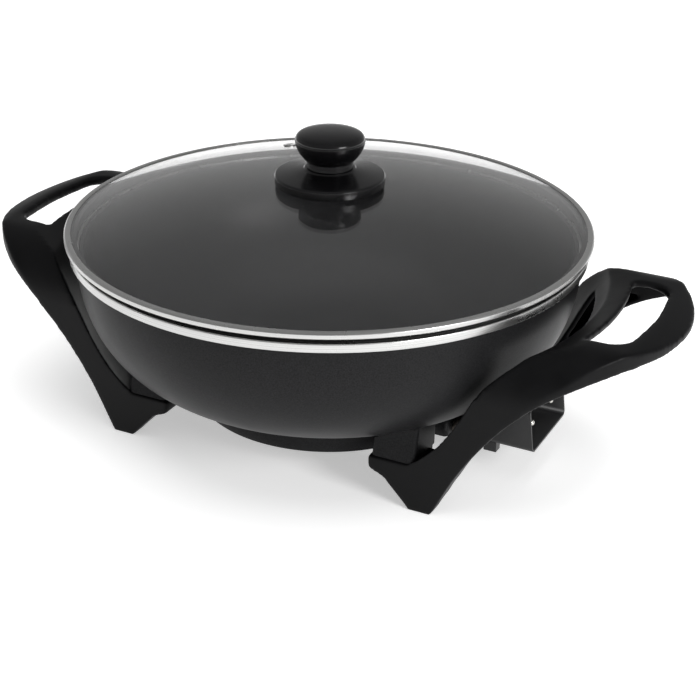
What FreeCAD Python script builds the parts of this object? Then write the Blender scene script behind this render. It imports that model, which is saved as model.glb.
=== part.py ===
"""Electric wok: cast bowl on two moulded handle-and-leg frames, with a loose domed glass lid.

Millimetres, +Z up. The origin is on the floor, midway between the two handles.
+X runs along the handles, towards the socket for the removable thermostat probe.
"""
import FreeCAD, Part
import os
from math import asin, cos, degrees, pi, radians, sin, sqrt

V = FreeCAD.Vector
X_AXIS, Y_AXIS, Z_AXIS = V(1, 0, 0), V(0, 1, 0), V(0, 0, 1)
ORIGIN = V(0, 0, 0)

# Clearances
BODY_GAP = 0.3              # between the loose lid and what it rests on
SEAT_GAP = 0.1              # between pieces of one body that only touch

# Cast bowl
BOWL_R = 173.2              # outer radius just under the rim
BOWL_TOP_Z = 135.0
BOWL_DEPTH = 101.8          # outer height from the rim shoulder to the underside
BOWL_SIDE_POWER = 2.2       # superellipse power down the wall
BOWL_BASE_POWER = 3.7       # superellipse power across the base
BOWL_WALL = 3.6
BOWL_FLOOR = 5.0
SPIGOT_R = 169.6            # lip that the rim ring is pressed over
SPIGOT_TOP_Z = 136.3

# Bright rim ring on the bowl
RING_R = 177.4
RING_TOP_Z = 140.9
RING_LEDGE_R = 173.2
RING_LEDGE_Z = 137.4

# Lid
LID_R = 180.0
LID_TOP_Z = 149.1
GLASS_THICK = 4.0
GLASS_R = 176.6
GLASS_EDGE_Z = 148.3        # top surface at the edge
GLASS_APEX_Z = 176.3        # top surface at the centre
GLASS_HOLE_R = 4.6
VENT_R = 118.0              # steam vent: distance from the centre
VENT_ANGLE = 132.0
VENT_HOLE_R = 2.6
VENT_FLANGE_R = 4.8

# Lid knob
KNOB_SKIRT_R = 37.6
KNOB_SKIRT_Z = 176.5
KNOB_SKIRT_RIM = 6.5
KNOB_NECK_Z = 188.1
KNOB_NECK_R = 15.7
KNOB_HEAD_R = 23.8
KNOB_HEAD_Z = 208.3
KNOB_TOP_Z = 216.2

# Handle frames: one moulding each, with a grip loop and two legs
HANDLE_HALF_WIDTH = 95.0
HANDLE_REACH = 254.0        # outermost point of the grip
GRIP_ROUND_R = 103.5        # plan radius of the grip's outer edge
GRIP_TOP_R = 69.5           # radius of the crown across the grip
GRIP_TOP_CENTRE = (226.1, 58.6)
SHOULDER_R = 38.0           # rounding from the grip's top to the leg's side
SHOULDER_CENTRE_Z = 89.0
LEG_INBOARD_Y = 66.0
LEG_WALL = 3.6
CHANNEL_BOTTOM_Z = 37.0
SOLE_X = (106.5, 122.5)
TOE_TIP_X = 77.0
TOE_TOP_Z = 33.2
TOE_INBOARD_Y = 56.0
FOOT_STEPS = ((8.0, 81.0), (18.0, 73.5))    # height and inboard limit of each step in the foot
FINGER_SLOT_R = (207.5, 231.5)
FINGER_SLOT_HALF = 41.5
FINGER_SLOT_OUTER_CORNER = 17.0
FINGER_SLOT_INNER_CORNER = 3.0

# Blocks between the toes and the bowl
BLOCK_X = (78.0, 107.5)
BLOCK_Y = (58.0, 88.0)
BLOCK_ROUND = 4.0
SCREW_R = 2.5
SCREW_HEAD_R = 4.6
SCREW_X, SCREW_Y = 93.0, 73.0
SCREW_SEAT_Z = 27.0

# Heater under the bowl
HEATER_R = (67.0, 94.4)
HEATER_BOTTOM_Z = 19.9
HEATER_DRAFT = 2.0
ELEMENT_R = 80.5            # centre line radius of the heating tube
ELEMENT_TUBE_R = 4.0
ELEMENT_Z = 21.5

# Probe socket
PIN_Y = 18.0
PIN_Z = 41.0
PIN_R = 2.4
PIN_TIP_X = 163.0
PIN_FREE_X = 143.6          # where the plug's contact can start
PIN_SHANK_R = 2.0           # the pin inside its tube and bead
PROBE_BORE_R = 3.2
PROBE_TUBE_R = 4.6
PROBE_TIP_X = 150.0
PROBE_BORE_X = 118.0        # blind end of the probe bore, just clear of the bowl
GUARD_X = (118.0, 168.0)
GUARD_Z = (25.7, 58.0)
GUARD_HALF_WIDTH = 31.6
GUARD_SHEET = 1.2
GUARD_BEND_R = 4.0
GUARD_BACK_X = 127.0
GUARD_RAKE = 4.0            # how far the front edge leans back at the top


def vec(x, z):
    """Point in the XZ plane."""
    return V(x, 0, z)


def wire_of(points):
    """Closed polygon in the XZ plane from (x, z) pairs."""
    corners = [vec(x, z) for x, z in points]
    return Part.makePolygon(corners + corners[:1])


def revolve(wire):
    """Solid of revolution about Z from a closed wire in the XZ plane."""
    return Part.Face(wire).revolve(ORIGIN, Z_AXIS, 360)


def spin(points):
    """Solid of revolution about Z from a closed (radius, height) outline."""
    return revolve(wire_of(points))


def spline(points, start=None, end=None):
    """Smooth XZ edge through the points, with optional end directions."""
    curve = Part.BSplineCurve()
    knots = [vec(x, z) for x, z in points]
    if start:
        curve.interpolate(Points=knots, InitialTangent=vec(*start), FinalTangent=vec(*end))
    else:
        curve.interpolate(Points=knots)
    return curve.toShape()


def line(a, b):
    """Straight XZ edge between two (x, z) points."""
    return Part.LineSegment(vec(*a), vec(*b)).toShape()


def arc(a, b, c):
    """XZ arc from a through b to c."""
    return Part.Arc(vec(*a), vec(*b), vec(*c)).toShape()


def along_y(wire, y0, y1):
    """Extrude a closed XZ wire from y0 to y1."""
    face = Part.Face(wire)
    face.translate(V(0, y0, 0))
    return face.extrude(V(0, y1 - y0, 0))


def cylinder(radius, height, base, axis=Z_AXIS):
    return Part.makeCylinder(radius, height, base, axis)


def mirror_x(shape):
    return shape.mirror(ORIGIN, X_AXIS)


def half_turn(shape):
    """Copy turned 180 degrees about Z."""
    turned = shape.copy()
    turned.rotate(ORIGIN, Z_AXIS, 180)
    return turned


def fillet_where(shape, radius, test):
    """Round the edges whose middle passes the test."""
    edges = [e for e in shape.Edges if test(e.CenterOfMass, e)]
    return shape.makeFillet(radius, edges)


# Bowl

def bowl_outline(grow, floor_drop):
    """Superellipse quarter from the rim to the axis, grown outwards by `grow`."""
    radius = BOWL_R + grow
    depth = BOWL_DEPTH + floor_drop
    steps = 12
    points = []
    for i in range(steps + 1):
        t = 0.5 * pi * i / steps
        points.append((radius * cos(t) ** (2 / BOWL_BASE_POWER),
                       BOWL_TOP_Z - depth * sin(t) ** (2 / BOWL_SIDE_POWER)))
    points[-1] = (0.0, BOWL_TOP_Z - depth)
    return spline(points, (0, -60), (-60, 0))


def bowl_plug(grow, floor_drop, top_z=BOWL_TOP_Z):
    """Solid that fills the bowl's outline, to the height top_z."""
    radius = BOWL_R + grow
    bottom_z = BOWL_TOP_Z - BOWL_DEPTH - floor_drop
    edges = [bowl_outline(grow, floor_drop), line((0, bottom_z), (0, top_z)),
             line((0, top_z), (radius, top_z))]
    if top_z > BOWL_TOP_Z:
        edges.append(line((radius, top_z), (radius, BOWL_TOP_Z)))
    return revolve(Part.Wire(Part.__sortEdges__(edges)))


def make_bowl():
    outer = bowl_plug(0, 0)
    spigot = cylinder(SPIGOT_R, SPIGOT_TOP_Z - BOWL_TOP_Z + 1, V(0, 0, BOWL_TOP_Z - 1))
    inner = bowl_plug(-BOWL_WALL - 3.0, -BOWL_FLOOR, SPIGOT_TOP_Z + 5)
    body = outer.fuse(spigot).cut(inner).removeSplitter()
    return body


def make_rim_ring():
    """Bright ring pressed over the bowl's lip, with a ledge that centres the lid."""
    bottom_z = BOWL_TOP_Z + SEAT_GAP
    inner_r = SPIGOT_R + 0.05
    chamfer = 0.5
    return spin([(inner_r, bottom_z), (RING_R - chamfer, bottom_z), (RING_R, bottom_z + chamfer),
                 (RING_R, RING_TOP_Z - chamfer), (RING_R - chamfer, RING_TOP_Z),
                 (RING_LEDGE_R + chamfer, RING_TOP_Z), (RING_LEDGE_R, RING_TOP_Z - chamfer),
                 (RING_LEDGE_R, RING_LEDGE_Z), (inner_r, RING_LEDGE_Z)])


# Lid

def dome_radius():
    rise = GLASS_APEX_Z - GLASS_EDGE_Z
    return (GLASS_R ** 2 + rise ** 2) / (2 * rise)


def dome_z(radius, offset=0.0):
    """Height of the glass top surface, or of one `offset` below it."""
    ball = dome_radius()
    return GLASS_APEX_Z - ball + sqrt((ball - offset) ** 2 - radius ** 2)


def vent_axis():
    """A point on the glass top at the vent, and the outward direction there."""
    angle = radians(VENT_ANGLE)
    tilt = asin(VENT_R / dome_radius())
    foot = V(VENT_R * cos(angle), VENT_R * sin(angle), dome_z(VENT_R))
    return foot, V(sin(tilt) * cos(angle), sin(tilt) * sin(angle), cos(tilt))


def make_glass():
    mid = 0.5 * GLASS_R
    top = arc((0, dome_z(0)), (mid, dome_z(mid)), (GLASS_R, dome_z(GLASS_R)))
    low = arc((GLASS_R, dome_z(GLASS_R, GLASS_THICK)), (mid, dome_z(mid, GLASS_THICK)),
              (0, dome_z(0, GLASS_THICK)))
    edges = [top, line((GLASS_R, dome_z(GLASS_R)), (GLASS_R, dome_z(GLASS_R, GLASS_THICK))), low,
             line((0, dome_z(0, GLASS_THICK)), (0, dome_z(0)))]
    glass = revolve(Part.Wire(edges))
    foot, out = vent_axis()
    vent = cylinder(VENT_HOLE_R + 0.6, 20, foot - out * 10, out)
    knob_hole = cylinder(GLASS_HOLE_R, 40, V(0, 0, GLASS_APEX_Z - 20))
    return glass.cut(vent).cut(knob_hole)


def make_rim_band():
    """Rolled steel band: a bead round the glass edge, a neck that rests on the bowl's ring
    and a skirt that drops inside the ledge."""
    bead_low_z = 144.9
    neck_r = 176.6
    rest_z = RING_TOP_Z + BODY_GAP
    skirt_r = (170.8, RING_LEDGE_R - BODY_GAP)
    skirt_z = RING_LEDGE_Z + BODY_GAP
    lip_r = 175.4
    pocket_r = GLASS_R + 0.05
    glass_top = dome_z(lip_r) + 0.05
    glass_low = dome_z(skirt_r[0], GLASS_THICK) - 0.05
    return spin([(lip_r, glass_top), (lip_r + 0.3, LID_TOP_Z - 0.3), (lip_r + 1.2, LID_TOP_Z),
                 (LID_R - 1.1, LID_TOP_Z), (LID_R - 0.3, LID_TOP_Z - 0.4),
                 (LID_R, LID_TOP_Z - 1.2), (LID_R, bead_low_z + 0.6), (LID_R - 0.6, bead_low_z),
                 (neck_r, bead_low_z), (neck_r, rest_z), (skirt_r[1], rest_z),
                 (skirt_r[1], skirt_z), (skirt_r[0], skirt_z), (skirt_r[0], glass_low - 2.3),
                 (pocket_r, dome_z(GLASS_R, GLASS_THICK) - 0.05), (pocket_r, glass_top)])


def make_vent_eyelet():
    foot, out = vent_axis()
    flange = 0.7
    sleeve = cylinder(VENT_HOLE_R + 0.5, GLASS_THICK + 2 * flange,
                      foot - out * (GLASS_THICK + flange), out)
    upper = cylinder(VENT_FLANGE_R, flange, foot + out * 0.08, out)
    lower = cylinder(VENT_FLANGE_R - 0.6, flange, foot - out * (GLASS_THICK + flange + 0.08), out)
    bore = cylinder(VENT_HOLE_R, 20, foot - out * 10, out)
    return sleeve.fuse([upper, lower]).cut(bore).removeSplitter()


def make_knob():
    """Phenolic head and neck, with a blind socket for the lid screw."""
    edges = [line((0, KNOB_NECK_Z), (KNOB_NECK_R, KNOB_NECK_Z)),
             line((KNOB_NECK_R, KNOB_NECK_Z), (KNOB_NECK_R, KNOB_NECK_Z + 3.2)),
             arc((KNOB_NECK_R, KNOB_NECK_Z + 3.2), (18.2, KNOB_NECK_Z + 7.2), (22.4, 202.1)),
             arc((22.4, 202.1), (KNOB_HEAD_R - 0.1, 206.6), (KNOB_HEAD_R - 0.8, 210.4)),
             spline([(KNOB_HEAD_R - 0.8, 210.4), (20.6, 213.0), (12.0, 215.6), (0, KNOB_TOP_Z)],
                    (-0.8, 2.0), (-12, 0)),
             line((0, KNOB_TOP_Z), (0, KNOB_NECK_Z))]
    socket = cylinder(2.55, 14, V(0, 0, KNOB_NECK_Z))
    return revolve(Part.Wire(edges)).cut(socket)


def make_knob_skirt():
    """Shallow cone under the knob that shields the fingers from the glass."""
    low_z = KNOB_SKIRT_Z
    rim_top = low_z + KNOB_SKIRT_RIM + 0.4
    seat_z = KNOB_NECK_Z - SEAT_GAP
    outline = [(2.7, low_z + 3.0), (9.0, low_z + 3.0), (9.0, dome_z(9.0) + SEAT_GAP),
               (14.0, dome_z(14.0) + SEAT_GAP), (14.0, low_z + 3.0),
               (KNOB_SKIRT_R - 2.6, low_z + 3.0), (KNOB_SKIRT_R - 2.6, low_z + 0.4),
               (KNOB_SKIRT_R - 0.7, low_z), (KNOB_SKIRT_R, low_z + 0.8),
               (KNOB_SKIRT_R, rim_top - 1.2), (KNOB_SKIRT_R - 1.0, rim_top),
               (KNOB_NECK_R + 2.2, seat_z - 1.2), (KNOB_NECK_R + 1.6, seat_z), (2.7, seat_z)]
    return spin(outline)


def make_knob_gasket():
    under = dome_z(0, GLASS_THICK) - SEAT_GAP - 0.2
    return spin([(2.7, under - 1.6), (11.0, under - 1.6), (11.0, under), (2.7, under)])


def make_knob_washer():
    under = dome_z(0, GLASS_THICK) - SEAT_GAP - 2.0
    return spin([(2.7, under - 1.0), (9.5, under - 1.0), (9.5, under), (2.7, under)])


def make_knob_screw():
    under = dome_z(0, GLASS_THICK) - SEAT_GAP - 3.1
    shank = cylinder(SCREW_R, KNOB_NECK_Z + 11 - under, V(0, 0, under))
    head = spin([(0, under - 2.6), (3.0, under - 2.4), (4.6, under - 1.0), (4.6, under), (0, under)])
    slot = Part.makeBox(10, 1.1, 1.3, V(-5, -0.55, under - 2.7))
    cross = Part.makeBox(1.1, 10, 1.3, V(-0.55, -5, under - 2.7))
    return shank.fuse(head).cut(slot.fuse(cross)).removeSplitter()


# Handle frames

def grip_disc(inset):
    """Plan outline of one frame: straight sides that end in the grip's round front."""
    centre_x = HANDLE_REACH - GRIP_ROUND_R
    height = 150.0
    disc = cylinder(GRIP_ROUND_R - inset, height, V(centre_x, 0, -5))
    slab = Part.makeBox(centre_x - 60, 2 * GRIP_ROUND_R, height, V(60, -GRIP_ROUND_R, -5))
    return disc.fuse(slab)


def shoulder_arch(inset):
    """Arch across the frame: upright sides and a rounded shoulder up to the grip."""
    half = HANDLE_HALF_WIDTH - inset
    round_r = SHOULDER_R - inset
    top = SHOULDER_CENTRE_Z + round_r
    flat = half - round_r
    mid = round_r * sqrt(0.5)
    low = -5.0

    def at(y, z):
        return V(50, y, z)

    edges = [Part.LineSegment(at(-half, low), at(half, low)).toShape(),
             Part.LineSegment(at(half, low), at(half, SHOULDER_CENTRE_Z)).toShape(),
             Part.Arc(at(half, SHOULDER_CENTRE_Z), at(flat + mid, SHOULDER_CENTRE_Z + mid),
                      at(flat, top)).toShape(),
             Part.LineSegment(at(flat, top), at(-flat, top)).toShape(),
             Part.Arc(at(-flat, top), at(-flat - mid, SHOULDER_CENTRE_Z + mid),
                      at(-half, SHOULDER_CENTRE_Z)).toShape(),
             Part.LineSegment(at(-half, SHOULDER_CENTRE_Z), at(-half, low)).toShape()]
    return Part.Face(Part.Wire(edges)).extrude(V(230, 0, 0))


def crown(inset):
    """Everything below the crowned top of the grip, which is concentric with the bowl."""
    centre_r, centre_z = GRIP_TOP_CENTRE
    radius = GRIP_TOP_R - inset

    def top_at(r):
        return (r, centre_z + sqrt(radius ** 2 - (r - centre_r) ** 2))

    start, end = top_at(166.0), top_at(260.0)
    edges = [line((60, -5), (265, -5)), line((265, -5), (265, end[1])), line((265, end[1]), end),
             arc(end, top_at(centre_r), start), line(start, (60, start[1])),
             line((60, start[1]), (60, -5))]
    return revolve(Part.Wire(edges))


def bowl_clearance(inset):
    """Space kept free round the bowl: the frames' inner faces follow it at a distance."""
    profile = [(141.0, TOE_TOP_Z), (158.0, 53.5), (170.5, 79.0), (182.0, 103.5), (192.6, 119.5),
               (199.0, 134.0)]
    grown = [(r + inset, z) for r, z in profile]
    edges = [spline(grown), line(grown[-1], (0, grown[-1][1])), line((0, grown[-1][1]), (0, TOE_TOP_Z)),
             line((0, TOE_TOP_Z), grown[0])]
    return revolve(Part.Wire(edges))


def frame_side(inset):
    """Side view of one frame: toe, sole, and the long sweep from the foot out to the grip."""
    sweep = [(SOLE_X[1], 0), (132.5, 20.6), (148.7, 48.3), (169.1, 74.9), (188.6, 93.9),
             (209.0, 106.6), (232.0, 114.9), (262.0, 117.6)]
    headings = [(40, 75)]
    for before, after in zip(sweep, sweep[2:]):
        headings.append((after[0] - before[0], after[1] - before[1]))
    headings.append((30, 1))
    drawn = []
    for (x, z), (dx, dz) in zip(sweep, headings):
        length = sqrt(dx * dx + dz * dz)
        drawn.append((x - inset * dz / length, z + inset * dx / length))
    tip = TOE_TIP_X + inset
    edges = [spline(drawn, headings[0], headings[-1]), line(drawn[-1], (drawn[-1][0], 140)),
             line((drawn[-1][0], 140), (tip, 140)), line((tip, 140), (tip, 27.5)),
             arc((tip, 27.5), (tip + 0.7, 24.6), (tip + 3.2, 22.8)),
             line((tip + 3.2, 22.8), (tip + 12.2, 18.8)),
             line((tip + 12.2, 18.8), (SOLE_X[0] + inset, drawn[0][1])),
             line((SOLE_X[0] + inset, drawn[0][1]), drawn[0])]
    return Part.Wire(edges)


def frame_block(inset):
    """Outer form of a frame, or the same form drawn in by `inset`."""
    half = HANDLE_HALF_WIDTH - inset
    block = along_y(frame_side(inset), -half, half)
    block = block.common(shoulder_arch(inset)).common(crown(inset)).common(grip_disc(inset))
    return block.cut(bowl_clearance(inset))


def between_legs():
    """Space between the two legs and under the grip."""
    upper = [(150.0, 96.0), (188.0, 106.0), (196.0, 110.5), (203.0, 118.0), (209.0, 121.0),
             (231.0, 120.6), (262.0, 117.4)]
    edges = [line((0, -5), (0, 96.0)), line((0, 96.0), upper[0]), spline(upper),
             line(upper[-1], (262, -5)), line((262, -5), (0, -5))]
    under_grip = revolve(Part.Wire(edges))
    gap = Part.makeBox(300, 2 * LEG_INBOARD_Y, 150, V(0, -LEG_INBOARD_Y, -5))
    toes = Part.makeBox(BLOCK_X[1] - 50, 2 * LEG_INBOARD_Y, TOE_TOP_Z + 5, V(50, -LEG_INBOARD_Y, -5))
    toe_gap = Part.makeBox(300, 2 * TOE_INBOARD_Y, 150, V(0, -TOE_INBOARD_Y, -5))
    return under_grip.common(gap).cut(toes.cut(toe_gap))


def foot_steps():
    """Steps that thin each foot towards its sole."""
    steps = []
    low = -5.0
    for top, limit in FOOT_STEPS:
        steps.append(Part.makeBox(300, 2 * limit, top - low, V(0, -limit, low)))
    return steps[0].fuse(steps[1:])


def leg_channels():
    """Hollows that make each leg a channel, open towards the other leg."""
    inner = frame_block(LEG_WALL)
    reach = Part.makeBox(300, 2 * HANDLE_HALF_WIDTH, 109.0 - CHANNEL_BOTTOM_Z,
                         V(0, -HANDLE_HALF_WIDTH, CHANNEL_BOTTOM_Z))
    return inner.common(reach)


def finger_slot():
    """Opening through the grip, concentric with the bowl, with rounded ends."""
    inner_r, outer_r = FINGER_SLOT_R
    ring = cylinder(outer_r, 60, V(0, 0, 95)).cut(cylinder(inner_r, 60, V(0, 0, 95)))
    window = Part.makeBox(120, 2 * FINGER_SLOT_HALF, 60, V(150, -FINGER_SLOT_HALF, 95))
    slot = ring.common(window)
    upright = [e for e in slot.Edges if abs(e.CenterOfMass.z - 125) < 1]
    outer = [e for e in upright if e.CenterOfMass.x > 215]
    slot = slot.makeFillet(FINGER_SLOT_OUTER_CORNER, outer)
    inner = [e for e in slot.Edges
             if abs(e.CenterOfMass.z - 125) < 1 and e.CenterOfMass.x < 207]
    return slot.makeFillet(FINGER_SLOT_INNER_CORNER, inner)


def screw_hole(side):
    """Hole and head recess through one toe; side is -1 or +1 along Y."""
    hole = cylinder(SCREW_R + 0.3, 30, V(SCREW_X, side * SCREW_Y, 10))
    recess = cylinder(SCREW_HEAD_R + 0.5, SCREW_SEAT_Z, V(SCREW_X, side * SCREW_Y, 0))
    return hole.fuse(recess)


def make_handle():
    frame = frame_block(0).cut(between_legs())
    frame = frame.cut(finger_slot())
    frame = frame.cut(foot_steps())
    frame = frame.cut(leg_channels())
    for side in (-1, 1):
        frame = frame.cut(screw_hole(side))
    return frame.removeSplitter().Solids[0]


def make_block(side):
    """Cast block that fills the space between a toe and the bowl."""
    low_y = BLOCK_Y[0] if side > 0 else -BLOCK_Y[1]
    block = Part.makeBox(BLOCK_X[1] - BLOCK_X[0], BLOCK_Y[1] - BLOCK_Y[0], 60,
                         V(BLOCK_X[0], low_y, TOE_TOP_Z + SEAT_GAP))
    block = fillet_where(block, BLOCK_ROUND, lambda c, e: abs(c.z - TOE_TOP_Z - 30) < 1)
    block = block.cut(bowl_plug(SEAT_GAP, SEAT_GAP, 160))
    hole = cylinder(SCREW_R + 0.05, 12, V(SCREW_X, side * SCREW_Y, TOE_TOP_Z - 1))
    return block.cut(hole)


def make_leg_screw(x, y):
    shank = cylinder(SCREW_R, TOE_TOP_Z + 9 - SCREW_SEAT_Z, V(x, y, SCREW_SEAT_Z))
    head = cylinder(SCREW_HEAD_R, 3.0, V(x, y, SCREW_SEAT_Z - 3.0))
    screw = shank.fuse(head)
    cross = Part.makeBox(6, 1.2, 1.6, V(x - 3, y - 0.6, SCREW_SEAT_Z - 3.0))
    return screw.cut(cross).removeSplitter()


# Heater and probe socket

def make_heater_ring():
    """Cast ring under the bowl that carries the heating tube."""
    inner_r, outer_r = HEATER_R
    body = spin([(inner_r, HEATER_BOTTOM_Z + 1), (inner_r + 1, HEATER_BOTTOM_Z),
                 (outer_r - 1, HEATER_BOTTOM_Z), (outer_r, HEATER_BOTTOM_Z + 1),
                 (outer_r - HEATER_DRAFT, 55), (inner_r - HEATER_DRAFT, 55)])
    body = body.cut(bowl_plug(SEAT_GAP, SEAT_GAP, 160))
    boss = Part.makeBox(22, 62, 11, V(84, -31, HEATER_BOTTOM_Z + 2))
    boss = fillet_where(boss, 3.0, lambda c, e: abs(c.z - HEATER_BOTTOM_Z - 7.5) < 1 and c.x > 90)
    body = body.fuse(boss.cut(bowl_plug(SEAT_GAP, SEAT_GAP, 160)))
    body = body.cut(element_route(ELEMENT_TUBE_R + SEAT_GAP))
    return body.removeSplitter()


def element_route(radius):
    """Solid of the given radius along the heating tube's whole route."""
    ring = Part.makeTorus(ELEMENT_R, radius, V(0, 0, ELEMENT_Z), Z_AXIS)
    wedge = Part.makeBox(60, 2 * PIN_Y, 20, V(ELEMENT_R - 30, -PIN_Y, ELEMENT_Z - 10))
    route = ring.cut(wedge)
    start_x = sqrt(ELEMENT_R ** 2 - PIN_Y ** 2) - 1.0
    for side in (-1, 1):
        points = [V(start_x, side * PIN_Y, ELEMENT_Z), V(104, side * PIN_Y, ELEMENT_Z + 2),
                  V(124, side * PIN_Y, PIN_Z), V(132, side * PIN_Y, PIN_Z)]
        for a, b in zip(points, points[1:]):
            run = b - a
            route = route.fuse(cylinder(radius, run.Length, a, run))
        for bend in points[:-1]:
            route = route.fuse(Part.makeSphere(radius, bend))
    return route


def make_heating_element():
    """Heating tube: a nearly closed ring whose two ends turn outwards to the pins."""
    return element_route(ELEMENT_TUBE_R).cut(fused_pin_holes(118, PIN_SHANK_R + 0.05)).removeSplitter()


def fused_pin_holes(start_x, radius):
    near = cylinder(radius, 80, V(start_x, -PIN_Y, PIN_Z), X_AXIS)
    return near.fuse(cylinder(radius, 80, V(start_x, PIN_Y, PIN_Z), X_AXIS))


def make_pin(side):
    """Terminal pin with a rounded tip."""
    start = 126.0
    shank = cylinder(PIN_SHANK_R, PIN_FREE_X - start, V(start, side * PIN_Y, PIN_Z), X_AXIS)
    free_length = PIN_TIP_X - PIN_R - PIN_FREE_X
    pin = cylinder(PIN_R, free_length, V(PIN_FREE_X, side * PIN_Y, PIN_Z), X_AXIS)
    tip = Part.makeSphere(PIN_R, V(PIN_TIP_X - PIN_R, side * PIN_Y, PIN_Z))
    return pin.fuse(shank).fuse(tip).removeSplitter()


def make_insulator(side):
    """Ceramic bead where a pin leaves the heating tube."""
    start = 132.0 + SEAT_GAP
    bead = cylinder(5.2, 7.0, V(start, side * PIN_Y, PIN_Z), X_AXIS)
    tip = Part.makeCone(5.2, 3.4, 4.0, V(start + 7.0, side * PIN_Y, PIN_Z), X_AXIS)
    return bead.fuse(tip).cut(fused_pin_holes(120, PIN_SHANK_R + 0.05)).removeSplitter()


def make_probe_tube():
    """Blind sleeve that takes the thermostat's sensing rod."""
    start = 102.0
    tube = cylinder(PROBE_TUBE_R, PROBE_TIP_X - start, V(start, 0, PIN_Z), X_AXIS)
    collar = cylinder(PROBE_TUBE_R + 1.6, 3.0, V(PROBE_TIP_X - 12, 0, PIN_Z), X_AXIS)
    bore = cylinder(PROBE_BORE_R, 60, V(PROBE_BORE_X, 0, PIN_Z), X_AXIS)
    mouth = Part.makeCone(PROBE_BORE_R, PROBE_BORE_R + 1.0, 1.0, V(PROBE_TIP_X - 1, 0, PIN_Z), X_AXIS)
    return tube.fuse(collar).cut(bore).cut(mouth).cut(bowl_plug(SEAT_GAP, SEAT_GAP, 160)).removeSplitter()


def guard_shell(inset):
    """Rounded rectangular block that gives the guard's outside, or its inside when inset."""
    low, high = GUARD_Z
    half = GUARD_HALF_WIDTH - inset
    block = Part.makeBox(GUARD_X[1] - GUARD_X[0] + 20, 2 * half, high - low - 2 * inset,
                         V(GUARD_X[0], -half, low + inset))
    return fillet_where(block, GUARD_BEND_R - inset,
                        lambda c, e: abs(abs(c.y) - half) < 0.01 and e.Length > 60)


def make_guard():
    """Sheet-metal guard round the probe socket, open in front, with fixing lugs below."""
    low, high = GUARD_Z
    shell = guard_shell(0).cut(guard_shell(GUARD_SHEET))
    lean = wire_of([(GUARD_X[1], low - 1), (GUARD_X[1] - GUARD_RAKE, high + 1), (260, high + 1),
                    (260, low - 1)])
    shell = shell.cut(along_y(lean, -50, 50))
    back = Part.makeBox(GUARD_SHEET, 2 * GUARD_HALF_WIDTH - 1, high - low - 1,
                        V(GUARD_BACK_X, -GUARD_HALF_WIDTH + 0.5, low + 0.5))
    shell = shell.fuse(back)
    shell = shell.cut(fused_pin_holes(110, ELEMENT_TUBE_R + 0.8))
    shell = shell.cut(cylinder(PROBE_TUBE_R + 0.3, 60, V(100, 0, PIN_Z), X_AXIS))
    shell = shell.cut(bracket_form(SEAT_GAP)).cut(bowl_plug(2.0, 2.0, 160))
    for side in (-1, 1):
        foot = Part.makeBox(9, 7, 7.2, V(132.5, side * 26.5 - 3.5, low - 6.6))
        shell = shell.fuse(foot)
    return shell.removeSplitter()


def bracket_form(grow):
    """Angle strip from the heater ring's boss to under the guard's floor."""
    low = GUARD_Z[0] + GUARD_SHEET + SEAT_GAP
    half = 11.0 + grow
    strip = Part.makeBox(38 + 2 * grow, 2 * half, 2.0 + 2 * grow, V(106 + SEAT_GAP - grow, -half, low - grow))
    riser = Part.makeBox(2.0 + 2 * grow, 2 * half, 5.0 + grow, V(106 + SEAT_GAP - grow, -half, low - grow))
    return strip.fuse(riser)


def make_guard_bracket():
    return bracket_form(0).removeSplitter()


def export(name, shape):
    shape.exportStep("parts/%s.step" % name)


def main():
    os.makedirs("parts", exist_ok=True)
    export("wok_bowl", make_bowl())
    export("bowl_rim_ring", make_rim_ring())
    export("lid_glass", make_glass())
    export("lid_rim_band", make_rim_band())
    export("steam_vent_eyelet", make_vent_eyelet())
    export("lid_knob", make_knob())
    export("lid_knob_skirt", make_knob_skirt())
    export("lid_knob_gasket", make_knob_gasket())
    export("lid_knob_washer", make_knob_washer())
    export("lid_knob_screw", make_knob_screw())

    handle = make_handle()
    export("handle_right", handle)
    export("handle_left", half_turn(handle))
    screws = []
    for side, depth in ((-1, "front"), (1, "rear")):
        block = make_block(side)
        export("mount_block_right_%s" % depth, block)
        export("mount_block_left_%s" % depth, mirror_x(block))
        for x in (-SCREW_X, SCREW_X):
            screws.append(make_leg_screw(x, side * SCREW_Y))
    export("leg_screws", Part.makeCompound(screws))

    export("heater_ring", make_heater_ring())
    export("heating_element", make_heating_element())
    for side, depth in ((-1, "front"), (1, "rear")):
        export("terminal_pin_%s" % depth, make_pin(side))
        export("pin_insulator_%s" % depth, make_insulator(side))
    export("probe_tube", make_probe_tube())
    export("socket_guard", make_guard())
    export("guard_bracket", make_guard_bracket())


main()
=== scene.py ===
"""Electric wok: cast bowl on two moulded handle-and-leg frames, domed glass lid, probe socket.

Metres, +Z up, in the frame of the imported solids. Numbers in the shape functions are millimetres
until `MM` turns them into metres.
"""
from math import asin, cos, pi, radians, sin, sqrt

import bmesh
import bpy
import numpy as np
from mathutils import Matrix, Vector


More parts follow.
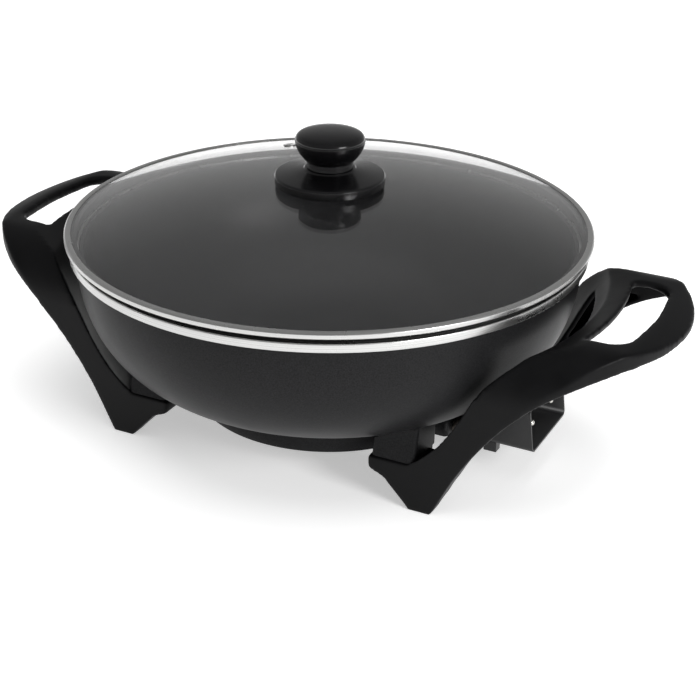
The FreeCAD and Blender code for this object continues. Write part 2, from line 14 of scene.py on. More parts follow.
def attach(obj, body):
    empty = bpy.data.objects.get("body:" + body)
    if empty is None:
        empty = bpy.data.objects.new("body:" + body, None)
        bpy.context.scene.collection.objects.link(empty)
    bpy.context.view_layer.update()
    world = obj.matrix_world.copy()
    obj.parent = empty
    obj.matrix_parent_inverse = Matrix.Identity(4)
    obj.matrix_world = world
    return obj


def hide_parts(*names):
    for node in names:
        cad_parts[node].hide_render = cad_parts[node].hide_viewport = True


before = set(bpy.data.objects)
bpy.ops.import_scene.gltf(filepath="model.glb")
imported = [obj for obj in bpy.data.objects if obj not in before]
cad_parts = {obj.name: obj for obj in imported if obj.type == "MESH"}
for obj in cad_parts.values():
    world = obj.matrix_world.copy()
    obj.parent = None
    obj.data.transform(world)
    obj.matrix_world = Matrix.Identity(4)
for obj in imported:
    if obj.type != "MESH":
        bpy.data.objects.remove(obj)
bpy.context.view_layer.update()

MM = 0.001

# Sizes in millimetres. The bowl, the glass, the vent and a handle frame's width, reach and front
# are the solids' own. The slot, the blend, the rim and the blocks are this file's closer shapes.
# Bowl: rim radius, rim height and depth, and the powers of its superellipse
BOWL_R, BOWL_TOP, BOWL_DEPTH = 173.2, 135.0, 101.8
SIDE_POWER, BASE_POWER = 2.2, 3.7
BOWL_WALL, BOWL_FLOOR = 6.6, 5.0
# Glass: radius, height of its edge and of its top, thickness, bore for the knob's screw
GLASS_R, GLASS_EDGE, GLASS_APEX, GLASS_THICK = 176.6, 148.3, 176.3, 4.0
GLASS_BORE, GLASS_ROUND = 4.6, 1.2
VENT_R, VENT_ANGLE, VENT_BORE, VENT_CUT = 118.0, radians(132.0), 3.2, 12.0
# Finger slot: near and far radius, half its width, corner radii, and the heights it cuts through
SLOT_R, SLOT_HALF, SLOT_CORNERS, SLOT_SPAN = (207.5, 232.8), 50.0, (4.5, 17.0), (90.0, 140.0)
# Plan of a handle frame: half its width, reach and radius of the grip's front, blend, back end
FRAME_HALF, GRIP_REACH, GRIP_ROUND, PLAN_BLEND = 95.0, 254.0, 103.5, 60.0
PLAN_BACK, PLAN_SPAN = 40.0, (-10.0, 150.0)
# Rim under the grip: half its width, wall, top, and its lower edge's heights at four x
RIM_HALF, RIM_THICK, RIM_TOP = 69.0, 3.6, 121.8
SWEEP_X, SWEEP_Z = (220, 232, 245, 254), (111.6, 114.9, 116.6, 117.3)
# Leg blocks: extent in x and y, foot, lean, corner radius, and the height their lean is read at
BLOCK_X, BLOCK_Y, BLOCK_Z = (79.0, 109.5), (58.0, 93.6), 33.3
BLOCK_DRAFT, BLOCK_CORNER, BLOCK_MID_Z = 0.28, 3.0, 50.0
# Air between two pieces that rest on each other
FIT_GAP = 0.1

# Meshing: fine even grid and relaxing that leave a moulded radius on every edge
MOULD_GRID, RELAX_SHARE, RELAX_STEPS = 1.3, 0.5, 10
CREASE = 30.0                               # degrees; a sharper edge is shaded as an edge
JOIN, CAD_JOIN, VANISH = 2e-6, 5e-6, 1e-7   # metres; nearer points are one, shorter edges go


# Surfaces

def linked(name, data):
    """Object that shows the data, in the scene."""
    piece = bpy.data.objects.new(name, data)
    bpy.context.scene.collection.objects.link(piece)
    return piece


def merge(mesh, crease=CREASE, distance=JOIN):
    """Join points that coincide and drop faces that vanish, as at a pole or between triangles,
    then shade smooth but for edges sharper than `crease` degrees."""
    bm = bmesh.new()
    bm.from_mesh(mesh)
    bmesh.ops.remove_doubles(bm, verts=bm.verts, dist=distance)
    bmesh.ops.dissolve_degenerate(bm, dist=VANISH, edges=bm.edges)
    bm.to_mesh(mesh)
    bm.free()
    mesh.shade_smooth()
    mesh.set_sharp_from_angle(angle=radians(crease))


def outward(mesh):
    """Turn every face of a closed mesh outwards."""
    bm = bmesh.new()
    bm.from_mesh(mesh)
    bmesh.ops.recalc_face_normals(bm, faces=bm.faces)
    bm.to_mesh(mesh)
    bm.free()


def surface(name, points, faces, crease=CREASE):
    """Merged object from points in millimetres and faces that name them."""
    mesh = bpy.data.meshes.new(name)
    mesh.from_pydata((np.asarray(points) * MM).tolist(), [], faces)
    mesh.validate()
    merge(mesh, crease)
    return linked(name, mesh)


def rounded(corners, steps=5):
    """Closed outline of (x, y, rounding) corners with each corner replaced by an arc.

    The arc is tangent to both sides. It starts at the rounding divided by the tangent of half
    the corner's angle from the corner, but never past the middle of a side.
    """
    out = []
    count = len(corners)
    for i, (x, y, size) in enumerate(corners):
        here = np.array([x, y])
        to_last = np.array(corners[i - 1][:2]) - here
        to_next = np.array(corners[(i + 1) % count][:2]) - here
        last_len, next_len = np.linalg.norm(to_last), np.linalg.norm(to_next)
        a, b = to_last / last_len, to_next / next_len
        half = 0.5 * np.arccos(np.clip(a @ b, -1, 1))
        if size <= 0 or half > 1.5:
            out.append(here[None, :])
            continue
        reach = min(size / np.tan(half), 0.48 * last_len, 0.48 * next_len)
        size = reach * np.tan(half)
        bisector = (a + b) / np.linalg.norm(a + b)
        centre = here + bisector * size / np.sin(half)
        start, end = here + a * reach - centre, here + b * reach - centre
        turn = np.arctan2(start[0] * end[1] - start[1] * end[0], start @ end)
        t = np.linspace(0, 1, steps + 1)[:, None] * turn
        flat = np.array([-start[1], start[0]])
        out.append(centre + start * np.cos(t) + flat * np.sin(t))
    return np.concatenate(out)


def turned(name, outline, turns=256, crease=CREASE):
    """Solid of revolution about Z: each point (r, z) of the closed outline goes to
    (r cos a, r sin a, z) for every angle a. Points on the axis become one pole each."""
    outline = np.asarray(outline, float)
    r, z = outline.T
    area = np.sum(r * np.roll(z, -1) - np.roll(r, -1) * z)
    if area < 0:
        outline = outline[::-1]
    a = np.linspace(0, 2 * pi, turns, endpoint=False)[:, None]
    r, z = outline[:, 0][None, :], outline[:, 1][None, :]
    points = np.stack([r * np.cos(a), r * np.sin(a), z + 0 * a], axis=2).reshape(-1, 3)
    m = len(outline)
    i, j = np.meshgrid(np.arange(turns), np.arange(m), indexing="ij")
    i2, j2 = (i + 1) % turns, (j + 1) % m
    quads = np.stack([i * m + j, i2 * m + j, i2 * m + j2, i * m + j2], axis=2).reshape(-1, 4)
    return surface(name, points, quads.tolist(), crease)


def finished(piece, node, body, material):
    """Dress a new piece, ride it on its body and let it stand for the CAD node."""
    piece.data.materials.clear()
    piece.data.materials.append(material)
    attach(piece, body)
    if node:
        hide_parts(node)


def merged_copy(node, name):
    """Copy of a CAD node with its loose triangles joined, so that it shades smoothly."""
    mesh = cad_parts[node].data.copy()
    mesh.name = name
    mesh.materials.clear()
    mesh.transform(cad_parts[node].matrix_world)
    merge(mesh, distance=CAD_JOIN)
    return linked(name, mesh)


def prism(name, ring, low, high):
    """Upright solid on a plan outline: each point (x, y) of the ring stands once at height
    `low` and once at `high`, and either height may vary round the ring."""
    count = len(ring)
    ends = [np.column_stack([ring, np.broadcast_to(z, count)]) for z in (low, high)]
    sides = [(i, (i + 1) % count, (i + 1) % count + count, i + count) for i in range(count)]
    caps = [tuple(range(count))[::-1], tuple(range(count, 2 * count))]
    tool = surface(name, np.concatenate(ends), sides + caps)
    outward(tool.data)
    return tool


def slot_outline():
    """Finger slot: a rounded oblong in (radius, y), bent round the bowl: x is the root of radius
    squared less y squared. Points along its two long sides let them bend with it."""
    (near, far), half, (small, large) = SLOT_R, SLOT_HALF, SLOT_CORNERS
    inner = [(near, y, 0) for y in np.arange(40, -41, -5)]
    outer = [(far, y, 0) for y in (-13, -6, 0, 6, 13)]
    oblong = rounded([(near, -half, small), (far, -half, large), *outer, (far, half, large),
                      (near, half, small), *inner], 10)
    return np.column_stack([np.sqrt(oblong[:, 0] ** 2 - oblong[:, 1] ** 2), oblong[:, 1]])


def grip_outline():
    """Plan of a frame: straight sides, a blend of radius PLAN_BLEND, and the grip's round front.
    Circles that touch have their centres apart by the difference of their radii, which gives
    the blend's centre and the angle at which the two arcs meet."""
    centre_x = GRIP_REACH - GRIP_ROUND
    rise = FRAME_HALF - PLAN_BLEND
    run = sqrt((GRIP_ROUND - PLAN_BLEND) ** 2 - rise ** 2)
    meet = np.arctan2(rise, run)
    front = np.linspace(-meet, meet, 64)
    blend = np.linspace(meet, 0.5 * pi, 16)[1:]
    upper = np.column_stack([centre_x + run + PLAN_BLEND * np.cos(blend),
                             rise + PLAN_BLEND * np.sin(blend)])
    arc = np.column_stack([centre_x + GRIP_ROUND * np.cos(front), GRIP_ROUND * np.sin(front)])
    back = np.array([[PLAN_BACK, FRAME_HALF], [PLAN_BACK, -FRAME_HALF]])
    return np.concatenate([upper[::-1] * [1, -1], arc, upper, back])


def rim_wall():
    """Rim under the grip: a wall between two circles about the centre of the grip's front,
    x being the centre plus the root of radius squared less y squared. Its lower edge keeps to
    the leg's sweep, whose height follows x."""
    y = np.linspace(-RIM_HALF, RIM_HALF, 48)
    centre_x = GRIP_REACH - GRIP_ROUND
    outer = np.column_stack([centre_x + np.sqrt(GRIP_ROUND ** 2 - y ** 2), y])
    thin = GRIP_ROUND - RIM_THICK
    inner = np.column_stack([centre_x + np.sqrt(thin ** 2 - y ** 2), y])[::-1]
    ring = np.concatenate([outer, inner])
    return ring, np.interp(ring[:, 0], SWEEP_X, SWEEP_Z)


def combine(piece, tool, operation):
    """Apply one exact boolean between a piece and a tool, and remove the tool."""
    step = piece.modifiers.new("step", "BOOLEAN")
    step.operation, step.solver, step.object = operation, "EXACT", tool
    freeze(piece)
    bpy.data.objects.remove(tool)


def freeze(piece):
    """Replace a piece's mesh by its own modifiers' result."""
    name = piece.data.name
    result = piece.evaluated_get(bpy.context.evaluated_depsgraph_get())
    done = bpy.data.meshes.new_from_object(result)
    piece.modifiers.clear()
    piece.data = done
    done.name = name


def moulded_copy(node, name, side):
    """Copy of a handle frame with its rim, its blended plan and its finger slot at full length,
    and every edge rounded as a mould rounds it: the solid is resampled on a fine even grid and
    then relaxed. `side` is 1 for the right frame and -1 for the left."""
    piece = merged_copy(node, name)
    ring, sweep = rim_wall()
    combine(piece, prism("rim", ring * [side, 1], sweep, RIM_TOP), "UNION")
    combine(piece, prism("plan", grip_outline() * [side, 1], *PLAN_SPAN), "INTERSECT")
    combine(piece, prism("slot", slot_outline() * [side, 1], *SLOT_SPAN), "DIFFERENCE")
    grid = piece.modifiers.new("even_grid", "REMESH")
    grid.mode, grid.voxel_size, grid.use_smooth_shade = "VOXEL", MOULD_GRID * MM, True
    relax = piece.modifiers.new("mould_radius", "SMOOTH")
    relax.factor, relax.iterations = RELAX_SHARE, RELAX_STEPS
    freeze(piece)
    piece.data.shade_smooth()
    return piece


# Materials

NOISE_LOW, NOISE_HIGH = 0.3, 0.7          # the span that nearly all of a noise lies in


def hex_colour(text):
    """Linear RGBA from an sRGB hex value: each channel divided by 12.92 when dark, and
    otherwise raised to the power 2.4 after its offset."""
    s = np.array([int(text[i:i + 2], 16) for i in (1, 3, 5)]) / 255
    lin = np.where(s <= 0.04045, s / 12.92, ((s + 0.055) / 1.055) ** 2.4)
    return (*lin.tolist(), 1.0)


def add(tree, kind, sockets=None, **settings):
    """One node of that kind: settings are its properties; sockets maps an input to a value or
    to the output that feeds it."""
    node = tree.nodes.new("ShaderNode" + kind)
    for key, value in settings.items():
        setattr(node, key, value)
    for key, value in (sockets or {}).items():
        if isinstance(value, bpy.types.NodeSocket):
            tree.links.new(value, node.inputs[key])
        else:
            node.inputs[key].default_value = value
    return node


def blank(name):
    """Empty node material with its output node."""
    material = bpy.data.materials.new(name)
    material.use_nodes = True
    material.node_tree.nodes.clear()
    return material, material.node_tree, add(material.node_tree, "OutputMaterial")


def place(tree):
    """Object coordinates in millimetres."""
    where = add(tree, "TexCoord").outputs["Object"]
    return add(tree, "VectorMath", {0: where, "Scale": 1 / MM}, operation="SCALE").outputs[0]


def noise(tree, where, size, detail=2.0, rough=0.5):
    """Noise whose blobs are about `size` millimetres."""
    return add(tree, "TexNoise", {"Vector": where, "Scale": 1 / size, "Detail": detail,
                                  "Roughness": rough}).outputs["Fac"]


def between(tree, fac, low, high):
    """Value from low to high as fac goes from NOISE_LOW to NOISE_HIGH, in proportion."""
    return add(tree, "MapRange", {"Value": fac, "From Min": NOISE_LOW, "From Max": NOISE_HIGH,
                                  "To Min": low, "To Max": high}).outputs["Result"]


def tint(tree, fac, low, high):
    """Colour between two hex values as fac goes from NOISE_LOW to NOISE_HIGH."""
    even = between(tree, fac, 0.0, 1.0)
    return add(tree, "Mix", {"Factor": even, "A": hex_colour(low), "B": hex_colour(high)},
               data_type="RGBA").outputs["Result"]


def moulded_phenolic(name, low, high, rough, grain, depth, shine):
    """Phenolic resin, compression moulded in a spark-eroded tool: black with a fine dull grain."""
    material, tree, out = blank(name)
    where = place(tree)
    fine = noise(tree, where, grain, 3.0)
    broad = noise(tree, where, 22.0, 2.0)
    bump = add(tree, "Bump", {"Height": fine, "Strength": 0.35, "Distance": depth * MM})
    shader = add(tree, "BsdfPrincipled", {
        "Base Color": tint(tree, broad, low, high),
        "Roughness": between(tree, broad, rough - 0.03, rough + 0.03),
        "Normal": bump.outputs[0], "IOR": 1.5, "Specular IOR Level": shine})
    tree.links.new(shader.outputs[0], out.inputs[0])
    return material


def sprayed_coating():
    """Non-stick coating sprayed and baked on cast aluminium: satin charcoal, with the fine
    speckle of its filler and the casting's faint unevenness under it."""
    material, tree, out = blank("sprayed_nonstick_coating")
    where = place(tree)
    fleck = noise(tree, where, 0.9, 2.0, 0.7)
    peel = noise(tree, where, 2.4, 2.0)
    broad = noise(tree, where, 45.0, 2.0)
    height = add(tree, "Math", {0: fleck, 1: 0.6, 2: peel}, operation="MULTIPLY_ADD").outputs[0]
    bump = add(tree, "Bump", {"Height": height, "Strength": 0.5, "Distance": 0.05 * MM})
    shader = add(tree, "BsdfPrincipled", {
        "Base Color": tint(tree, fleck, "#121213", "#232324"),
        "Roughness": between(tree, broad, 0.36, 0.44),
        "Normal": bump.outputs[0], "IOR": 1.45, "Specular IOR Level": 0.12})
    tree.links.new(shader.outputs[0], out.inputs[0])
    return material


def turned_steel():
    """Stainless steel strip, rolled and satin finished on a lathe: fine rings about the axis."""
    material, tree, out = blank("satin_stainless_steel")
    where = place(tree)
    flat = add(tree, "VectorMath", {0: where, 1: (1, 1, 0)}, operation="MULTIPLY").outputs[0]
    radius = add(tree, "VectorMath", {0: flat}, operation="LENGTH").outputs["Value"]
    height = add(tree, "SeparateXYZ", {0: where}).outputs["Z"]
    lathe = add(tree, "CombineXYZ", {"X": radius, "Y": height}).outputs[0]
    rings = noise(tree, lathe, 0.35, 2.0)
    drift = noise(tree, where, 30.0, 2.0)
    bump = add(tree, "Bump", {"Height": rings, "Strength": 0.1, "Distance": 0.02 * MM})
    shader = add(tree, "BsdfPrincipled", {
        "Base Color": tint(tree, rings, "#B4B4B3", "#CFCFCE"),
        "Metallic": 1.0, "Roughness": between(tree, drift, 0.24, 0.32), "Normal": bump.outputs[0]})
    tree.links.new(shader.outputs[0], out.inputs[0])
    return material


def plain_finish(name, low, high, rough, grain=0.6, metallic=1.0):
    """Plated, oxidised or machined metal, and with `metallic` 0 a coating, a glaze or rubber:
    a faint mottle in colour and gloss."""
    material, tree, out = blank(name)
    mottle = noise(tree, place(tree), grain, 3.0)
    bump = add(tree, "Bump", {"Height": mottle, "Strength": 0.2, "Distance": 0.02 * MM})
    shader = add(tree, "BsdfPrincipled", {
        "Base Color": tint(tree, mottle, low, high), "Metallic": metallic,
        "Roughness": between(tree, mottle, rough - 0.05, rough + 0.05), "Normal": bump.outputs[0]})
    tree.links.new(shader.outputs[0], out.inputs[0])
    return material


def tempered_glass():
    """Tempered soda-lime glass, pressed and fire polished: clear, with a sharp reflection.
    Light from lamps passes straight through it."""
    material, tree, out = blank("tempered_lid_glass")
    where = place(tree)
    wave = noise(tree, where, 60.0, 1.0)
    bump = add(tree, "Bump", {"Height": wave, "Strength": 0.15, "Distance": 0.3 * MM})
    shader = add(tree, "BsdfPrincipled", {
        "Base Color": hex_colour("#F6F6F6"), "Roughness": 0.02, "IOR": 1.5,
        "Transmission Weight": 1.0, "Normal": bump.outputs[0]})
    clear = add(tree, "BsdfTransparent", {"Color": hex_colour("#F6F6F6")})
    lamps = add(tree, "LightPath").outputs["Is Shadow Ray"]
    mix = add(tree, "MixShader", {0: lamps, 1: shader.outputs[0], 2: clear.outputs[0]})
    tree.links.new(mix.outputs[0], out.inputs[0])
    return material


COATING = sprayed_coating()
STEEL = turned_steel()
HANDLE_RESIN = moulded_phenolic("moulded_phenolic_matte", "#09090A", "#0E0E0F",
                                rough=0.45, grain=0.7, depth=0.08, shine=0.12)
KNOB_RESIN = moulded_phenolic("moulded_phenolic_gloss", "#060607", "#0B0B0C",
                              rough=0.2, grain=1.6, depth=0.02, shine=0.4)
GLASS = tempered_glass()
ZINC = plain_finish("zinc_plated_steel", "#8E8F90", "#B7B8B8", 0.35)
PIN_STEEL = plain_finish("polished_nickel_plate", "#C8C6C0", "#DEDCD6", 0.14)
SHEATH = plain_finish("oxidised_heater_sheath", "#4A4642", "#6A645E", 0.5, 1.5)
BARE_ALUMINIUM = plain_finish("machined_aluminium", "#B2B3B5", "#CACBCC", 0.3)
BLACK_SHEET = plain_finish("black_coated_sheet_steel", "#141415", "#1C1C1D", 0.42, 0.8, 0.0)
CERAMIC = plain_finish("glazed_steatite_ceramic", "#D2CCBE", "#E0DBD0", 0.3, 1.2, 0.0)
# Painted shade: a black finish for the band's skirt, so that the gap under the bead shows as
# shadow.
GAP_SHADE_BLACK = plain_finish("painted_gap_shade", "#0A0A0A", "#101010", 0.6, 1.2, 0.0)
SILICONE = plain_finish("moulded_silicone_rubber", "#B9B8B3", "#C6C5C0", 0.55, 1.2, 0.0)


# Bowl and its rim ring

def bowl_curve(radius, depth, count=72):
    """Quarter of a superellipse from rim to pole, as t goes through a quarter turn: the radius
    times cos t to the power 2 / BASE_POWER, at the top's height less the depth times sin t to
    the power 2 / SIDE_POWER."""
    t = np.linspace(0, 0.5 * pi, count)
    r = radius * np.cos(t) ** (2 / BASE_POWER)
    r[-1] = 0.0
    return np.stack([r, BOWL_TOP - depth * np.sin(t) ** (2 / SIDE_POWER)], axis=1)


def make_bowl():
    """Cast bowl: the outer curve, a stepped lip, and the inner curve set in by the wall."""
    outer = bowl_curve(BOWL_R, BOWL_DEPTH)
    inner = bowl_curve(BOWL_R - BOWL_WALL, BOWL_DEPTH - BOWL_FLOOR)[::-1]
    lip = rounded([(166.6, 134.0, 0), (166.6, 136.3, 0.6), (169.6, 136.3, 0.6), (169.6, 135.0, 0),
                   (173.2, 135.0, 0.5), (173.2, 134.0, 0)])
    outline = np.concatenate([inner[:-1], lip[1:-1], outer[1:]])
    bowl = turned("bowl_casting", outline)
    finished(bowl, "wok_bowl", "base", COATING)


def make_rim_ring():
    """Steel ring of L section: a flat foot on the bowl's lip and an upright wall round it."""
    outline = rounded([(169.65, 135.1, 0.2), (177.4, 135.1, 0.5), (177.4, 140.9, 0.9),
                       (173.2, 140.9, 0.6), (173.2, 137.4, 0.3), (169.65, 137.4, 0.3)], 6)
    ring = turned("bowl_trim_ring", outline)
    finished(ring, "bowl_rim_ring", "base", STEEL)


# Lid

# Radius of the ball that passes through the glass's edge and its top
BALL = (GLASS_R ** 2 + (GLASS_APEX - GLASS_EDGE) ** 2) / (2 * (GLASS_APEX - GLASS_EDGE))


def dome_z(r, offset=0.0):
    """Height of the glass top at radius r, or of a surface `offset` below it: the ball's centre
    plus the root of its radius squared less r squared."""
    return GLASS_APEX - BALL + np.sqrt((BALL - offset) ** 2 - np.asarray(r) ** 2)


def make_glass():
    """Domed shell between two balls about one centre, with a rounded ground edge, a hole for
    the knob's screw on the axis and one for the steam vent square to the dome."""
    r = np.linspace(GLASS_BORE, GLASS_R - GLASS_ROUND, 96)
    top = np.stack([r, dome_z(r)], axis=1)
    low = np.stack([r, dome_z(r, GLASS_THICK)], axis=1)[::-1]
    t = np.linspace(-0.5 * pi, 0.5 * pi, 9)[::-1]
    mid_z = 0.5 * (top[-1, 1] + low[0, 1])
    half = 0.5 * (top[-1, 1] - low[0, 1])
    edge = np.stack([GLASS_R - GLASS_ROUND + GLASS_ROUND * np.cos(t), mid_z + half * np.sin(t)],
                    axis=1)
    glass = turned("lid_glass_dome", np.concatenate([top, edge[1:-1], low]), crease=50)
    bore = turned("vent_cutter", [(0, -VENT_CUT), (VENT_BORE, -VENT_CUT), (VENT_BORE, VENT_CUT),
                                  (0, VENT_CUT)], turns=32)
    tilt = asin(VENT_R / BALL)
    stand = Matrix.Rotation(VENT_ANGLE, 4, "Z") @ Matrix.Rotation(tilt, 4, "Y")
    stand.translation = Vector((VENT_R * cos(VENT_ANGLE), VENT_R * sin(VENT_ANGLE),
                                float(dome_z(VENT_R)))) * MM
    bore.data.transform(stand)
    combine(glass, bore, "DIFFERENCE")
    finished(glass, "lid_glass", "lid", GLASS)


def make_band():
    """Rolled band: a bead round the glass edge, and a skirt that drops inside the ring, painted
    black as the shade in the gap under the bead.
    """
    lip_z = float(dome_z(175.4)) + 0.5 * FIT_GAP
    outline = rounded([(175.4, lip_z, 0.2), (175.7, 148.9, 0.4), (176.6, 149.1, 0.3),
                       (178.9, 149.1, 0.8), (180.0, 148.0, 0.8), (180.0, 145.5, 0.5),
                       (179.4, 144.9, 0.3), (176.65, 144.9, 0.2),
                       (176.65, float(dome_z(GLASS_R, GLASS_THICK)) - 0.5 * FIT_GAP, 0),
                       (176.65, lip_z, 0)], 6)
    band = turned("lid_steel_band", outline)
    finished(band, "lid_rim_band", "lid", STEEL)
    # The band's skirt, painted black: painted shade in the gap between the bead and the rim ring.
    drop = rounded([(176.55, 144.95, 0.2), (172.9, 144.3, 0.6), (172.9, 137.7, 0.5),
                    (170.8, 137.7, 0.5), (170.8, float(dome_z(170.8, GLASS_THICK)) - 2.35, 0.4),
                    (176.55, float(dome_z(176.55, GLASS_THICK)) - FIT_GAP, 0)])
    shaded_skirt = turned("lid_band_shaded_skirt", drop)
    finished(shaded_skirt, None, "lid", GAP_SHADE_BLACK)


def make_knob():
    """Head on a plain neck: bulged underside, a crisp parting line, and a flattened dome,
    turned from two smooth curves through given points."""
    under = flowing([(15.8, 192.6), (17.4, 194.1), (18.9, 195.7), (21.2, 198.9), (22.9, 202.6),
                     (23.65, 205.4), (23.8, 207.2)], 6)
    dome = flowing([(23.55, 207.45), (23.3, 208.6), (22.2, 210.3), (20.4, 211.5), (17.0, 212.6),
                    (12.0, 213.5), (6.0, 214.05), (0.0, 214.2)], 6)
    bore = [(0.0, 202.1), (2.55, 202.1), (2.55, 188.1), (15.5, 188.1), (15.8, 188.4)]
    knob = turned("lid_knob_head", bore + under + dome, turns=128, crease=35)
    finished(knob, "lid_knob", "lid", KNOB_RESIN)


def flowing(points, steps):
    """Catmull-Rom curve through the points, `steps` to a span, as a list: a cubic between each
    two points whose slope at a point is half the step from the one before to the one after."""
    p = np.array(points, float)
    p = np.concatenate([2 * p[:1] - p[1:2], p, 2 * p[-1:] - p[-2:-1]])
    t = np.linspace(0, 1, steps, endpoint=False)[:, None]
    out = []
    for a, b, c, d in zip(p, p[1:], p[2:], p[3:]):
        out.append(0.5 * (2 * b + (c - a) * t + (2 * a - 5 * b + 4 * c - d) * t ** 2
                          + (3 * b - a - 3 * c + d) * t ** 3))
    out.append(p[-2:-1])
    return np.concatenate(out).tolist()


def make_skirt():
    """Moulded shield under the knob: a ring foot on the glass, a turned-down edge, and a top
    that rises to the knob's seat."""
    heel, toe = (float(dome_z(r)) + FIT_GAP for r in (9.0, 14.0))
    outline = rounded([(2.7, 179.5, 0.2), (9.0, 179.5, 0.4), (9.0, heel, 0.2), (14.0, toe, 0.2),
                       (14.0, 179.5, 0.6), (35.0, 179.5, 1.0), (35.0, 176.9, 0.3),
                       (36.9, 176.5, 0.4), (37.6, 177.3, 0.4), (37.6, 182.0, 0.5),
                       (36.8, 183.2, 0.9), (27.0, 184.8, 8), (17.9, 186.9, 1.2),
                       (17.0, 188.0, 0.5), (2.7, 188.0, 0.1)])
    skirt = turned("lid_knob_shield", outline, turns=160, crease=40)
    finished(skirt, "lid_knob_skirt", "lid", KNOB_RESIN)


# Blocks between the legs and the bowl

def make_block(node, name, side_x, side_y):
    """Cast block whose top follows the bowl: rings of a rounded oblong open from the middle of
    the foot, climb the sides, and close to the middle again at the bowl's height."""
    (near_x, far_x), (near_y, far_y) = BLOCK_X, BLOCK_Y
    plan = rounded([(near_x, near_y, BLOCK_CORNER), (far_x, near_y, BLOCK_CORNER),
                    (far_x, far_y, BLOCK_CORNER), (near_x, far_y, BLOCK_CORNER)], 6)
    middle = plan.mean(axis=0)

    def bowl_height(x, y):
        """Height just under the bowl: the superellipse solved for z at the distance from Z."""
        ratio = np.clip(np.hypot(x, y) / BOWL_R, 0, 1) ** BASE_POWER
        return BOWL_TOP - BOWL_DEPTH * (1 - ratio) ** (1 / SIDE_POWER) - FIT_GAP

    def leant(ring, z):
        """Ring moved in along y by BLOCK_DRAFT times its height above the foot, in full on the
        outer side and not at all on the inner."""
        share = np.clip((ring[:, 1] - near_y) / (far_y - near_y), 0, 1)
        return ring - np.column_stack([0 * z, BLOCK_DRAFT * (z - BLOCK_Z) * share])

    rows = []
    for share in (0.0, 0.35, 0.7, 1.0):
        ring = middle + (plan - middle) * share
        rows.append(np.column_stack([ring, np.full(len(ring), BLOCK_Z)]))
    top = bowl_height(*leant(plan, np.full(len(plan), BLOCK_MID_Z)).T)
    for climb in (0.1, 0.5, 0.93):
        z = BLOCK_Z + (top - BLOCK_Z) * climb
        rows.append(np.column_stack([leant(plan, z), z]))
    for share in (0.985, 0.95, 0.8, 0.6, 0.4, 0.2, 0.0):
        ring = leant(middle + (plan - middle) * share, np.full(len(plan), BLOCK_MID_Z))
        rows.append(np.column_stack([ring, bowl_height(*ring.T)]))
    points = np.concatenate(rows) * [side_x, side_y, 1]
    count = len(plan)
    i, j = np.meshgrid(np.arange(len(rows) - 1), np.arange(count), indexing="ij")
    after = (j + 1) % count
    quads = np.stack([i * count + j, i * count + after, (i + 1) * count + after,
                      (i + 1) * count + j], axis=2).reshape(-1, 4)
    block = surface(name, points, quads.tolist())
    outward(block.data)
    finished(block, node, "base", COATING)


make_bowl()
make_rim_ring()
make_glass()
make_band()
make_knob()
make_skirt()

# Pieces whose solid is already the shape that shows: node, then name, body and finish
COPIES = {
    "leg_screws": ("leg_pan_screws", "base", ZINC),
    "heater_ring": ("heater_casting", "base", COATING),
    "heating_element": ("heater_tube", "base", SHEATH),
    "terminal_pin_front": ("contact_pin_front", "base", PIN_STEEL),
    "terminal_pin_rear": ("contact_pin_rear", "base", PIN_STEEL),
    "pin_insulator_front": ("pin_bead_front", "base", CERAMIC),
    "pin_insulator_rear": ("pin_bead_rear", "base", CERAMIC),
    "probe_tube": ("probe_sleeve", "base", BARE_ALUMINIUM),
    "socket_guard": ("plug_guard", "base", BLACK_SHEET),
    "guard_bracket": ("plug_guard_strip", "base", BLACK_SHEET),
    "steam_vent_eyelet": ("steam_vent_rivet", "lid", STEEL),
    "lid_knob_gasket": ("knob_seal", "lid", SILICONE),
    "lid_knob_washer": ("knob_washer", "lid", ZINC),
    "lid_knob_screw": ("knob_screw", "lid", ZINC),
}
for side_x, across in ((1, "right"), (-1, "left")):
    for side_y, along in ((-1, "front"), (1, "rear")):
        make_block(f"mount_block_{across}_{along}", f"leg_block_{across}_{along}", side_x, side_y)
for node, name, side in (("handle_right", "handle_frame_right", 1),
                         ("handle_left", "handle_frame_left", -1)):
    finished(moulded_copy(node, name, side), node, "base", HANDLE_RESIN)
for node, (name, body, material) in COPIES.items():
    finished(merged_copy(node, name), node, body, material)


# Floor, light and camera

WALL_GLOW, CEILING_GLOW = 0.42, 0.3    # surround: brighter near the horizon than overhead
OVERHEAD_SPREAD, OVERHEAD_STRENGTH = radians(56), 1.7
SIDE_PANEL_AT, SIDE_PANEL_SIZE, SIDE_PANEL_WATTS = (1.29, -0.52, 0.66), 0.5, 12.0
HORIZON, CEILING = 0.12, 0.55           # heights on the surround where its fade begins and ends
SIDE_PANEL_AIM = (0.0, 0.0, 0.1)
TABLE_GLOW = 0.44                       # the lit table under the paper
FLOOR_HALF = 25.0


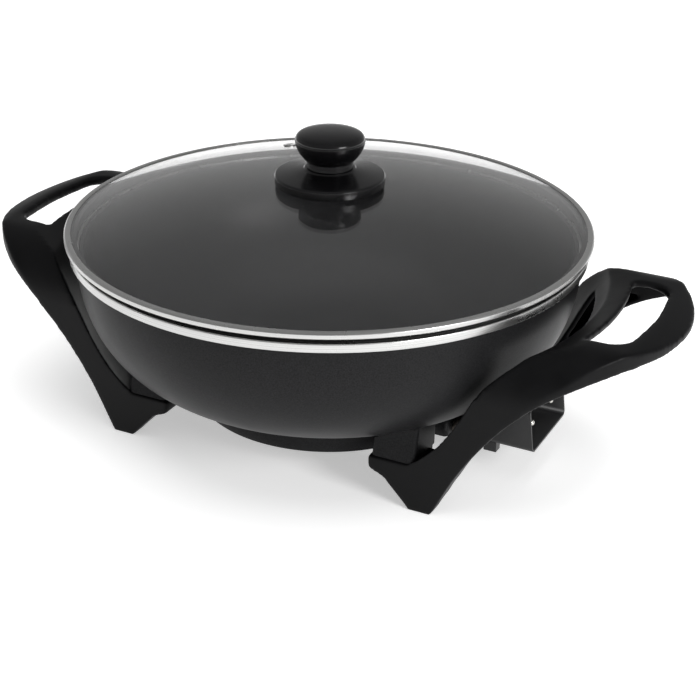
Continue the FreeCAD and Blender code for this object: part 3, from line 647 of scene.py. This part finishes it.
def studio():
    """Pale paper on a lit table, an even surround, a wide soft light overhead and a soft panel
    at the right."""
    floor_mesh = bpy.data.meshes.new("floor")
    corners = [(FLOOR_HALF * x, FLOOR_HALF * y, 0) for x, y in ((-1, -1), (1, -1), (1, 1), (-1, 1))]
    floor_mesh.from_pydata(corners, [], [(0, 1, 2, 3)])
    floor = linked("floor", floor_mesh)
    material, tree, out = blank("white_paper_sweep")
    fibre = noise(tree, place(tree), 3.0, 2.0)
    shader = add(tree, "BsdfPrincipled", {"Base Color": tint(tree, fibre, "#F3F3F3", "#F6F6F6"),
                                          "Roughness": 0.9, "Specular IOR Level": 0.1,
                                          "Emission Color": hex_colour("#FFFFFF"),
                                          "Emission Strength": TABLE_GLOW})
    tree.links.new(shader.outputs[0], out.inputs[0])
    floor_mesh.materials.append(material)
    world = bpy.data.worlds.new("studio")
    world.use_nodes = True
    tree = world.node_tree
    rise = add(tree, "SeparateXYZ", {0: add(tree, "TexCoord").outputs["Generated"]}).outputs["Z"]
    fade = add(tree, "MapRange", {"Value": rise, "From Min": HORIZON, "From Max": CEILING,
                                  "To Min": WALL_GLOW, "To Max": CEILING_GLOW}).outputs["Result"]
    tree.links.new(fade, tree.nodes["Background"].inputs["Strength"])
    tree.nodes["Background"].inputs["Color"].default_value = hex_colour("#FFFFFF")
    bpy.context.scene.world = world
    overhead = bpy.data.lights.new("overhead_diffuser", "SUN")
    overhead.angle = OVERHEAD_SPREAD
    overhead.energy = OVERHEAD_STRENGTH
    holder = linked("overhead_diffuser", overhead)
    holder.location = (0, 0, 2)
    holder.visible_glossy = False       # keeps its round disc out of the steel's reflections
    panel = bpy.data.lights.new("side_softbox", "AREA")
    panel.shape, panel.size, panel.energy = "SQUARE", SIDE_PANEL_SIZE, SIDE_PANEL_WATTS
    stand = linked("side_softbox", panel)
    reach = Vector(SIDE_PANEL_AIM) - Vector(SIDE_PANEL_AT)
    stand.matrix_world = (Matrix.Translation(SIDE_PANEL_AT)
                          @ reach.to_track_quat("-Z", "Y").to_matrix().to_4x4())


# Camera at the photograph's viewpoint, 27 degrees round and 21 degrees up: place and aim in
# metres, roll in degrees, lens and sensor in millimetres
CAMERA_AT, CAMERA_AIM = (0.4577, -0.8887, 0.5424), (0.01326, 0.00683, 0.05004)
CAMERA_ROLL, CAMERA_LENS, CAMERA_SENSOR = 0.662, 80.36, 36.0


def make_camera():
    """Camera that looks from CAMERA_AT to CAMERA_AIM, rolled a little about its own axis."""
    where, aim, roll = Vector(CAMERA_AT), Vector(CAMERA_AIM), radians(CAMERA_ROLL)
    forward = (aim - where).normalized()
    right = forward.cross(Vector((0, 0, 1))).normalized()
    up = right.cross(forward)
    across, upward = right * cos(roll) + up * sin(roll), -right * sin(roll) + up * cos(roll)
    data = bpy.data.cameras.new("camera")
    data.lens = CAMERA_LENS
    data.sensor_width = CAMERA_SENSOR
    data.sensor_height = CAMERA_SENSOR
    data.sensor_fit = "HORIZONTAL"
    camera = linked("camera", data)
    turn = Matrix((across, upward, -forward)).transposed().to_4x4()
    camera.matrix_world = Matrix.Translation(where) @ turn
    bpy.context.scene.camera = camera


studio()
make_camera()
bpy.context.scene.view_settings.view_transform = "Standard"
